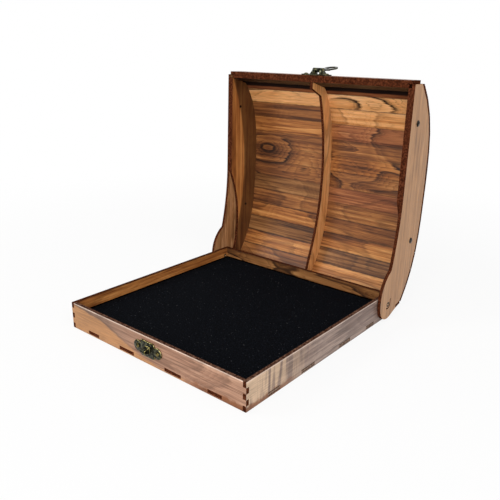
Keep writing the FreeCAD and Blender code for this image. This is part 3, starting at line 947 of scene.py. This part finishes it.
def second_palette(name):
    """A mark that changes a slat's palette to the right of the rib."""
    def change(tree, where, figure, colour):
        right = ramp(tree, figure["Tone"], PALETTES[name])
        return blend_colours(tree, ease(tree, split(tree, where)["X"], -MEETING, MEETING), colour, right)
    return change


for index, (left, right, seed, share, line) in enumerate(SLATS):
    slat = slat_name(index + 1)
    scorch = CROWN_SCORCH if seed in (CROWN_SEED, SHOULDER_SEED) else EDGE_SCORCH
    veneer = walnut(slat + " walnut", slat, "X", left, seed, SLAT_RINGS, SLAT_SWIRL, share, line,
                    second_palette(right), SLAT_POLISH, index * SLAT_PITCH, scorch)
    dress_board(slat, veneer)
print("dressed", len(SLATS), "slats")

# %% [markdown]
# The slat behind the front wall
# The first slat stands steeply behind the lid's front wall, and its inner face lies in deep shade.  That
# face is painted black as a painted shadow, down to a brown strip at its foot.  It gets a material of its
# own on the faces that look into the lid, while its outer face keeps its veneer.

# %% Painted shadow on the inner face
SHADOW_BLACK = ("0a0403", "1e0e08")
STRIP_BROWN = ("5a2f1a", "8a5230")
SHADOW_STRETCH = (40.0, 500.0, 500.0)
SHADOW_ROUGHNESS = (0.7, 0.9)
DULL_SHEEN = 0.1
STRIP = (2.6 * MM, 3.64 * MM)


# Painted shadow: near-black mottled faces, with a brown strip at the foot.
def painted_shadow_face():
    material, tree, shader, where = new_material("painted shadow inner face")
    mottle = cloud(tree, where, SHADOW_STRETCH, detail=3.0)
    mask = ease(tree, mottle, *NOISE_SPAN)
    black = ramp(tree, mask, SHADOW_BLACK)
    brown = ramp(tree, mask, STRIP_BROWN)
    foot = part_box(slat_name(1))[0].z
    strip = ease(tree, split(tree, where)["Z"], foot + STRIP[0], foot + STRIP[1], 1.0, 0.0)
    connect(tree, shader.inputs["Base Color"], blend_colours(tree, strip, black, brown))
    connect(tree, shader.inputs["Roughness"], ease(tree, mottle, *NOISE_SPAN, *SHADOW_ROUGHNESS))
    shader.inputs["Specular IOR Level"].default_value = DULL_SHEEN
    return material


repaint(slat_name(1), painted_shadow_face(), lambda face: face.material_index == VENEER and face.normal.z < 0)
print("first slat has", len(nodes[slat_name(1)].data.materials), "materials")

# %% [markdown]
# Hinge pins
# The lid turns on two short hardwood dowels.  Only their pale end grain shows; the dark ring round it is
# painted shade of the hole, painted on the dowel's end.

# %% Hinge pins
DOWEL_COLOURS = ("8d6a4c", "c09a74", "d8b894")
DOWEL_STRETCH = (400.0, 2200.0, 2200.0)
DOWEL_CORE = (0.8 * MM, 1.0 * MM)
DOWEL_ROUGHNESS = (0.5, 0.7)


def make_dowel(pin):
    material, tree, shader, where = new_material(pin + " dowel")
    pores = cloud(tree, where, DOWEL_STRETCH, detail=3.0, roughness=0.6)
    end_grain = ramp(tree, ease(tree, pores, *NOISE_SPAN), DOWEL_COLOURS)
    # Painted shade: beyond its pale core the dowel's end turns black, where the hole shades it.
    rim = ease(tree, axis_distance(tree, where, middle_of(pin)), *DOWEL_CORE)
    connect(tree, shader.inputs["Base Color"], blend_colours(tree, rim, end_grain, SOOT_AND_SHADE_COLOUR))
    connect(tree, shader.inputs["Roughness"], ease(tree, pores, *NOISE_SPAN, *DOWEL_ROUGHNESS))
    shader.inputs["Specular IOR Level"].default_value = DULL_SHEEN
    return material


def refinish(node, material):
    """Gives a whole CAD node one material."""
    nodes[node].data.materials.clear()
    nodes[node].data.materials.append(material)


for pin in ("hinge_pin_left", "hinge_pin_right"):
    refinish(pin, make_dowel(pin))
print("dowels dressed")

# %% [markdown]
# Old bronze
# The latch is stamped from plated steel with an antique finish: near-black green on its flats, and
# rubbed bright along every edge.  One function makes every metal on the box from a patchy tarnish, which
# is rough where it is dark and smooth where it is rubbed.

# %% Bronze finishes
TARNISH_STRETCH = (420.0, 420.0, 420.0)
TARNISH_SPAN = (0.32, 0.68)
TARNISH_RELIEF = 0.25


def make_bronze(name, colours, smooth, rough):
    """An old metal that is rough where it is dark and smooth where it is rubbed."""
    material, tree, shader, where = new_material(name)
    tarnish = cloud(tree, where, TARNISH_STRETCH, detail=4.0, roughness=0.6, distortion=0.4)
    shader.inputs["Metallic"].default_value = 1.0
    connect(tree, shader.inputs["Base Color"], ramp(tree, ease(tree, tarnish, *TARNISH_SPAN), colours))
    connect(tree, shader.inputs["Roughness"], ease(tree, tarnish, *NOISE_SPAN, rough, smooth))
    add_relief(tree, shader, tarnish, TARNISH_RELIEF, RELIEF_DEPTH)
    return material


OLD_BRONZE = make_bronze("old bronze", ("10110d", "2c2d23", "5e5f4a"), 0.26, 0.46)
RUBBED_BRONZE = make_bronze("rubbed bronze", ("5a5030", "a09150", "dccf92"), 0.2, 0.34)
WORN_BRONZE = make_bronze("worn bronze", ("1a180f", "453f24", "8a7b46"), 0.22, 0.4)
SCREW_STEEL = make_bronze("dark screw steel", ("100d0b", "2c2622", "6a625a"), 0.25, 0.45)
print("metals:", OLD_BRONZE.name, RUBBED_BRONZE.name, WORN_BRONZE.name, SCREW_STEEL.name)

# %% [markdown]
# New pieces
# The latch, the screws and the foam are finer than their CAD forms, and the glue and the lint have none,
# so these are made here, most of them with modifiers or node trees.  Each ends as a plain mesh, with its
# modifiers applied.

# %% Piece helpers


def new_piece(name, mesh):
    piece = bpy.data.objects.new(name, mesh)
    bpy.context.scene.collection.objects.link(piece)
    return piece


def finished(piece):
    """Turns a piece with modifiers into a plain mesh."""
    evaluated = piece.evaluated_get(bpy.context.evaluated_depsgraph_get())
    mesh = bpy.data.meshes.new_from_object(evaluated)
    piece.modifiers.clear()
    piece.data = mesh
    return piece


print("piece helpers ready")

# %% [markdown]
# Bevelled stampings
# Worn edges could be a mask made from the curvature.  Here a copy of each latch piece is merged and
# bevelled instead, because the bevel's own faces can take a second, brighter metal, and the bright lines
# then follow the real edges.

# %% Bevelled metal pieces
MERGE_DISTANCE = 0.002 * MM
FLAT_ANGLE = math.radians(1)
EDGE_ANGLE = math.radians(40)
BEVEL_SEGMENTS = 2
LATCH_PIECES = (  # piece, node, body, width of the bevel, finish of the bevel
    ("catch_stamping", "catch_plate", "tray", 0.32 * MM, RUBBED_BRONZE),
    ("hasp_stamping", "hasp_plate", "lid", 0.22 * MM, RUBBED_BRONZE),
    ("hasp_ring", "hasp_loop", "hasp", 0.12 * MM, WORN_BRONZE),
)


def bevelled_metal(name, node, body, width, edges):
    shape = bmesh.new()
    shape.from_mesh(nodes[node].data)
    bmesh.ops.remove_doubles(shape, verts=shape.verts, dist=MERGE_DISTANCE)
    bmesh.ops.dissolve_limit(shape, angle_limit=FLAT_ANGLE, verts=shape.verts, edges=shape.edges)
    for face in shape.faces:
        face.material_index = 0
        face.smooth = True
    mesh = bpy.data.meshes.new(name)
    shape.to_mesh(mesh)
    shape.free()
    mesh.materials.clear()
    mesh.materials.append(OLD_BRONZE)
    mesh.materials.append(edges)
    piece = new_piece(name, mesh)
    bevel = piece.modifiers.new("rubbed edges", "BEVEL")
    bevel.width = width
    bevel.segments = BEVEL_SEGMENTS
    bevel.limit_method = "ANGLE"
    bevel.angle_limit = EDGE_ANGLE
    bevel.material = EDGE
    finished(piece)
    piece.data.set_sharp_from_angle(angle=EDGE_ANGLE)
    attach(piece, body)
    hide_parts(node)
    print(name, "faces:", len(piece.data.polygons))


for latch_row in LATCH_PIECES:
    bevelled_metal(*latch_row)
refinish("hasp_pin", RUBBED_BRONZE)

# %% [markdown]
# Trees that set a shape on points
# Screws, glue lines and lint all repeat one small shape, so each gets a Geometry Nodes tree that sets
# the shape on points.  The trees begin and end alike: named inputs first, and at the end the instances
# are made real and given their finish, because the export drops instances.

# %% Geometry tree helpers


def geometry_tree(name, numbers):
    """An empty tree with named number inputs, a geometry and a finish, and its two end nodes."""
    tree = bpy.data.node_groups.new(name, "GeometryNodeTree")
    kinds = {"Geometry": "NodeSocketGeometry"}
    kinds.update({title: "NodeSocketFloat" for title in numbers})
    kinds["Finish"] = "NodeSocketMaterial"
    for title, kind in kinds.items():
        tree.interface.new_socket(name=title, in_out="INPUT", socket_type=kind)
    tree.interface.new_socket(name="Geometry", in_out="OUTPUT", socket_type="NodeSocketGeometry")
    return tree, tree.nodes.new("NodeGroupInput").outputs, tree.nodes.new("NodeGroupOutput").inputs


def set_on_points(tree, end, finish, placing):
    """The end of a tree: the shape on its points, made real and finished."""
    placed = add(tree, "GeometryNodeInstanceOnPoints", placing)
    real = add(tree, "GeometryNodeRealizeInstances", {"Geometry": placed.outputs[0]})
    dressed = add(tree, "GeometryNodeSetMaterial", {"Geometry": real.outputs[0], "Material": finish})
    tree.links.new(dressed.outputs[0], end["Geometry"])


def combine(tree, x=0.0, y=0.0, z=0.0):
    return add(tree, "ShaderNodeCombineXYZ", {"X": x, "Y": y, "Z": z}).outputs[0]


def box_shape(tree, x, y, z):
    return add(tree, "GeometryNodeMeshCube", {"Size": combine(tree, x, y, z)}).outputs["Mesh"]


def lifted(tree, geometry, height):
    move = combine(tree, z=height)
    return add(tree, "GeometryNodeTransform", {"Geometry": geometry, "Translation": move}).outputs[0]


def facing_turn(tree):
    """The turn that points a shape's Z along each point's own facing attribute."""
    facing = add(tree, "GeometryNodeInputNamedAttribute", {"Name": "facing"}, data_type="FLOAT_VECTOR")
    turn = add(tree, "FunctionNodeAlignRotationToVector", {"Vector": facing.outputs[0]}, axis="Z")
    return turn.outputs[0]


def facing_points(name, places, facings):
    """A piece of loose points, each with a facing attribute."""
    mesh = bpy.data.meshes.new(name)
    mesh.from_pydata(places, [], [])
    attribute = mesh.attributes.new("facing", "FLOAT_VECTOR", "POINT")
    for item, facing in zip(attribute.data, facings):
        item.vector = facing
    return new_piece(name, mesh)


def run_tree(piece, tree, values):
    """Runs a tree on a piece, with the named inputs set by their identifiers."""
    modifier = piece.modifiers.new(tree.name, "NODES")
    modifier.node_group = tree
    for item in tree.interface.items_tree:
        if item.in_out == "INPUT" and item.name in values:
            modifier[item.identifier] = values[item.name]
    return finished(piece)


print("geometry tree helpers ready")

# %% [markdown]
# Screws
# All the screws are small domed heads with a cross recess, so one tree makes them.  It builds one head
# from a flattened ball with two bars cut out of it, adds the shank, and sets it on each point that it is
# given.

# %% Screw tree
RECESS_LENGTH = 1.25
BALL_SIDES = 24
BALL_RINGS = 16
SHANK_SIDES = 16


def make_screw_tree():
    numbers = ("Head Radius", "Head Height", "Recess Width", "Shank Radius", "Shank Length")
    tree, start, end = geometry_tree("domed_screws", numbers)
    radius, height, width = start["Head Radius"], start["Head Height"], start["Recess Width"]
    ball = add(tree, "GeometryNodeMeshUVSphere",
               {"Segments": BALL_SIDES, "Rings": BALL_RINGS, "Radius": 1.0})
    dome = add(tree, "GeometryNodeTransform", {"Geometry": ball.outputs["Mesh"],
                                               "Scale": combine(tree, radius, radius, height)})
    long_side = maths(tree, "MULTIPLY", radius, RECESS_LENGTH)
    bars = tree.nodes.new("GeometryNodeJoinGeometry")
    for x, y in ((long_side, width), (width, long_side)):
        tree.links.new(lifted(tree, box_shape(tree, x, y, height), height), bars.inputs[0])
    cut = add(tree, "GeometryNodeMeshBoolean", {"Mesh 1": dome.outputs[0]}, operation="DIFFERENCE")
    tree.links.new(bars.outputs[0], cut.inputs["Mesh 2"])
    shank = add(tree, "GeometryNodeMeshCylinder",
                {"Vertices": SHANK_SIDES, "Radius": start["Shank Radius"], "Depth": start["Shank Length"]})
    sunk = lifted(tree, shank.outputs["Mesh"], maths(tree, "DIVIDE", start["Shank Length"], -2.0))
    screw = tree.nodes.new("GeometryNodeJoinGeometry")
    tree.links.new(cut.outputs[0], screw.inputs[0])
    tree.links.new(sunk, screw.inputs[0])
    set_on_points(tree, end, start["Finish"], {"Points": start["Geometry"], "Instance": screw.outputs[0],
                                               "Rotation": facing_turn(tree)})
    return tree


SCREW_TREE = make_screw_tree()
print("screw tree:", len(SCREW_TREE.nodes), "nodes")

# %% [markdown]
# Screw seats
# The CAD model holds every screw as a plain form in its true place, so no place is typed in again.  The
# points of a node are grouped by nearness, as seen along the screws, and each group's middle and
# outermost point give the top of one head.

# %% Screw seats
CLUSTER = 8 * MM


def screw_seats(node, facing):
    """The top of each screw head on a node, found by grouping the node's points."""
    clusters = []
    for vertex in nodes[node].data.vertices:
        flat = vertex.co - facing * vertex.co.dot(facing)
        near = [c for c in clusters if (c[0] - flat).length < CLUSTER]
        if near:
            near[0][1].append(vertex.co.copy())
        else:
            clusters.append((flat, [vertex.co.copy()]))
    seats = []
    for _, points in clusters:
        low, high = corners_of(points)
        middle = (low + high) / 2
        reach = max(p.dot(facing) for p in points)
        seats.append((middle + facing * (reach - middle.dot(facing)), facing))
    return seats


def side_seats():
    """Both sides' screws: each head's top is put at the outermost reach of its own side."""
    found = []
    for sign in (-1, 1):
        seats = screw_seats("lid_side_screws", Vector((sign, 0, 0)))
        reach = max(top.dot(facing) for top, facing in seats)
        found += [(Vector((sign * reach, top.y, top.z)), facing) for top, facing in seats]
    return found


print("side screws:", len(side_seats()))

# %% [markdown]
# Setting the screws
# The side screws are dark steel, and the smaller ones of the latch are bronze like its plates.  The lid
# stands open, so the hasp's screws no longer face the front: their direction is the front's, turned as
# far as the lid is turned from shut.

# %% Set the screws
LID_OPEN_TURN = math.radians(-91)
FRONTWARDS = Vector((0, -1, 0))
HASP_FACING = Matrix.Rotation(LID_OPEN_TURN, 3, "X") @ FRONTWARDS
SIDE_SCREW = {"Head Radius": 2.8 * MM, "Head Height": 1.3 * MM, "Recess Width": 0.7 * MM,
              "Shank Radius": 1.25 * MM, "Shank Length": 6.6 * MM, "Finish": SCREW_STEEL}
LATCH_SCREW = {"Head Radius": 2.2 * MM, "Head Height": 1.1 * MM, "Recess Width": 0.6 * MM,
               "Shank Radius": 1.0 * MM, "Shank Length": 3.7 * MM, "Finish": WORN_BRONZE}


def set_screws(name, node, body, seats, sizes):
    """seats are pairs of the top of a head and its outward direction."""
    places = [top - facing * sizes["Head Height"] for top, facing in seats]
    piece = run_tree(facing_points(name, places, [facing for _, facing in seats]), SCREW_TREE, sizes)
    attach(piece, body)
    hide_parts(node)
    print(name, "screws:", len(seats), "faces:", len(piece.data.polygons))


set_screws("side_screw_set", "lid_side_screws", "lid", side_seats(), SIDE_SCREW)
set_screws("hasp_screw_set", "hasp_screws", "lid", screw_seats("hasp_screws", HASP_FACING),
           LATCH_SCREW)
set_screws("catch_screw_set", "catch_screws", "tray", screw_seats("catch_screws", FRONTWARDS),
           LATCH_SCREW)

# %% [markdown]
# Glue lines
# The slats are glued edge to edge, and the dried glue shows as a dark line in each seam.  A tree sets one
# thin bar on each seam's middle, turned to face through the slats.  Each bar is wider than the gap it
# fills, so no light comes through the lid.

# %% Glue lines
GLUE_WIDTH = 0.4 * MM
GLUE_DEPTH = 1.4 * MM
GLUE_INSET = 1 * MM


def make_glue_tree():
    tree, start, end = geometry_tree("glue_lines", ("Length", "Width", "Depth"))
    bar = box_shape(tree, start["Length"], start["Width"], start["Depth"])
    set_on_points(tree, end, start["Finish"], {"Points": start["Geometry"], "Instance": bar,
                                               "Rotation": facing_turn(tree)})
    return tree


def slat_edge(number, side):
    """The middle of a slat's upper (-1) or lower (1) edge."""
    turn, middle, half_width = board_frame(slat_name(number), "X")
    return turn.transposed() @ (middle + Vector((0, side * half_width, 0)))


def slat_facing(number):
    return through_direction(nodes[slat_name(number)].data)


def lay_glue():
    seams = range(1, len(SLATS))
    places = [(slat_edge(n, 1) + slat_edge(n + 1, -1)) / 2 for n in seams]
    facings = [(slat_facing(n) + slat_facing(n + 1)).normalized() for n in seams]
    low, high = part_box(slat_name(1))
    sizes = {"Length": high.x - low.x - 2 * GLUE_INSET, "Width": GLUE_WIDTH, "Depth": GLUE_DEPTH,
             "Finish": SCORCHED_EDGE}
    piece = run_tree(facing_points("slat_glue", places, facings), make_glue_tree(), sizes)
    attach(piece, "lid")
    print("glue lines:", len(seams))


lay_glue()

# %% [markdown]
# Foam
# A sheet of black foam fills the tray.  Its torn cells give it a matt, nearly black skin with a few specks
# of dust.  The cells are far too small to model, so fine noise drives their colour and their relief.

# %% Foam finish
FOAM_COLOURS = ("020304", "07090d", "181b22")
FOAM_CELLS = (900.0, 900.0, 900.0)
FOAM_SPAN = (0.3, 0.75)
FOAM_ROUGHNESS = 0.95
FOAM_SHEEN = 0.03
FOAM_RELIEF = 0.5
FOAM_DEPTH = 0.3 * MM
DUST_COLOUR = paint("5a5a5e")
DUST_STRETCH = (620.0, 620.0, 620.0)
DUST_SPAN = (0.68, 0.76)
DUST_SHARE = 0.5


def foam_material():
    material, tree, shader, where = new_material("black foam")
    cells = cloud(tree, where, FOAM_CELLS, detail=3.0, roughness=0.7)
    dust = cloud(tree, where, DUST_STRETCH, detail=2.0, roughness=0.6)
    skin = ramp(tree, ease(tree, cells, *FOAM_SPAN), FOAM_COLOURS)
    speck = ease(tree, dust, *DUST_SPAN, 0.0, DUST_SHARE)
    connect(tree, shader.inputs["Base Color"], blend_colours(tree, speck, skin, DUST_COLOUR))
    shader.inputs["Roughness"].default_value = FOAM_ROUGHNESS
    shader.inputs["Specular IOR Level"].default_value = FOAM_SHEEN
    add_relief(tree, shader, cells, FOAM_RELIEF, FOAM_DEPTH)
    return material


print("foam relief:", round(FOAM_DEPTH / MM, 2), "mm")

# %% [markdown]
# The foam block
# The cut top edge of the foam is a little rounded, and its top is not quite level.  A cloth simulation
# would make it swell, which a cut sheet does not do.  A subdivided box with its top moved by a fixed noise
# stays flat on the tray's floor.

# %% Foam block
FOAM_CUTS = 60
FOAM_EDGE = 1.2 * MM
FOAM_SWELL = 0.35 * MM
FOAM_WAVE = 30.0
FOAM_SHARP = math.radians(60)
CUBE_TOP = 0.499


def foam_block():
    low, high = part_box("foam_pad")
    middle = (low + high) / 2
    size = high - low
    shape = bmesh.new()
    bmesh.ops.create_cube(shape, size=1.0)
    bmesh.ops.subdivide_edges(shape, edges=shape.edges, cuts=FOAM_CUTS, use_grid_fill=True)
    for vertex in shape.verts:
        on_top = vertex.co.z > CUBE_TOP
        vertex.co = middle + Vector([vertex.co[i] * size[i] for i in range(3)])
        if on_top:
            x, y, _ = vertex.co
            inset = min(x - low.x, high.x - x, y - low.y, high.y - y)
            rounding = max(0.0, 1 - inset / FOAM_EDGE)
            swell = noise.noise(vertex.co * FOAM_WAVE) - 1
            vertex.co.z += FOAM_SWELL / 2 * swell - FOAM_EDGE * rounding ** 2
    for face in shape.faces:
        face.smooth = True
    mesh = bpy.data.meshes.new("foam_block")
    shape.to_mesh(mesh)
    shape.free()
    mesh.materials.append(foam_material())
    mesh.set_sharp_from_angle(angle=FOAM_SHARP)
    piece = new_piece("foam_block", mesh)
    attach(piece, "tray")
    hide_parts("foam_pad")
    return piece


FOAM = foam_block()
print("foam faces:", len(FOAM.data.polygons))

# %% [markdown]
# Lint on the foam
# Black foam shows every pale fibre.  Hair particles could strew them, but a node tree with a fixed seed is
# shorter and gives the same lint each time.  Its points, scattered over the top, each carry one thin
# sliver, turned and scaled at random.

# %% Lint tree
LINT_UPWARD = 0.8
LINT_TURN = (0.2, 0.2, 2 * math.pi)
LINT_SCALE = (0.35, 1.3)
RANDOM_LOW = 2  # a Random Value node's number sockets go by place, as those of a Mix node do
RANDOM_HIGH = 3
RANDOM_RESULT = 1


def make_lint_tree():
    tree, start, end = geometry_tree("lint", ("Density", "Length", "Width"))
    tree.interface.new_socket(name="Seed", in_out="INPUT", socket_type="NodeSocketInt")
    normal = tree.nodes.new("GeometryNodeInputNormal").outputs[0]
    upward = add(tree, "FunctionNodeCompare", {"A": split(tree, normal)["Z"], "B": LINT_UPWARD},
                 data_type="FLOAT", operation="GREATER_THAN")
    points = add(tree, "GeometryNodeDistributePointsOnFaces",
                 {"Mesh": start["Geometry"], "Selection": upward.outputs[0], "Density": start["Density"],
                  "Seed": start["Seed"]})
    sliver = box_shape(tree, start["Length"], start["Width"], start["Width"])
    turn = add(tree, "FunctionNodeRandomValue", {"Max": LINT_TURN}, data_type="FLOAT_VECTOR")
    scale = add(tree, "FunctionNodeRandomValue",
                {RANDOM_LOW: LINT_SCALE[0], RANDOM_HIGH: LINT_SCALE[1], "Seed": start["Seed"]},
                data_type="FLOAT")
    set_on_points(tree, end, start["Finish"],
                  {"Points": points.outputs["Points"], "Instance": sliver, "Rotation": turn.outputs[0],
                   "Scale": scale.outputs[RANDOM_RESULT]})
    return tree


LINT_TREE = make_lint_tree()
print("lint tree:", len(LINT_TREE.nodes), "nodes")

# %% [markdown]
# Scattering the lint
# The tree runs on a copy of the foam's own mesh, so the slivers lie on its uneven top and nowhere else.
# Their greys come from one slow noise over the tray, which saves a material for each sliver.

# %% Lint
LINT_PER_SQUARE_METRE = 9000.0
LINT_LENGTH = 0.9 * MM
LINT_WIDTH = 0.22 * MM
LINT_SEED = 7
LINT_COLOURS = ("101013", "28282b", "454443")
LINT_STRETCH = (90.0, 90.0, 90.0)
LINT_SPAN = (0.35, 0.65)
LINT_ROUGHNESS = 0.9


def lint_material():
    material, tree, shader, where = new_material("pale lint")
    mixed = cloud(tree, where, LINT_STRETCH)
    connect(tree, shader.inputs["Base Color"], ramp(tree, ease(tree, mixed, *LINT_SPAN), LINT_COLOURS))
    shader.inputs["Roughness"].default_value = LINT_ROUGHNESS
    return material


def scatter_lint():
    sizes = {"Density": LINT_PER_SQUARE_METRE, "Length": LINT_LENGTH, "Width": LINT_WIDTH,
             "Seed": LINT_SEED, "Finish": lint_material()}
    piece = run_tree(new_piece("foam_lint", FOAM.data.copy()), LINT_TREE, sizes)
    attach(piece, "tray")
    print("lint faces:", len(piece.data.polygons))


scatter_lint()

# %% [markdown]
# View transform
# The view transform is plain, so colours come out as they were written.

# %% Finish
bpy.context.scene.view_settings.view_transform = "Standard"
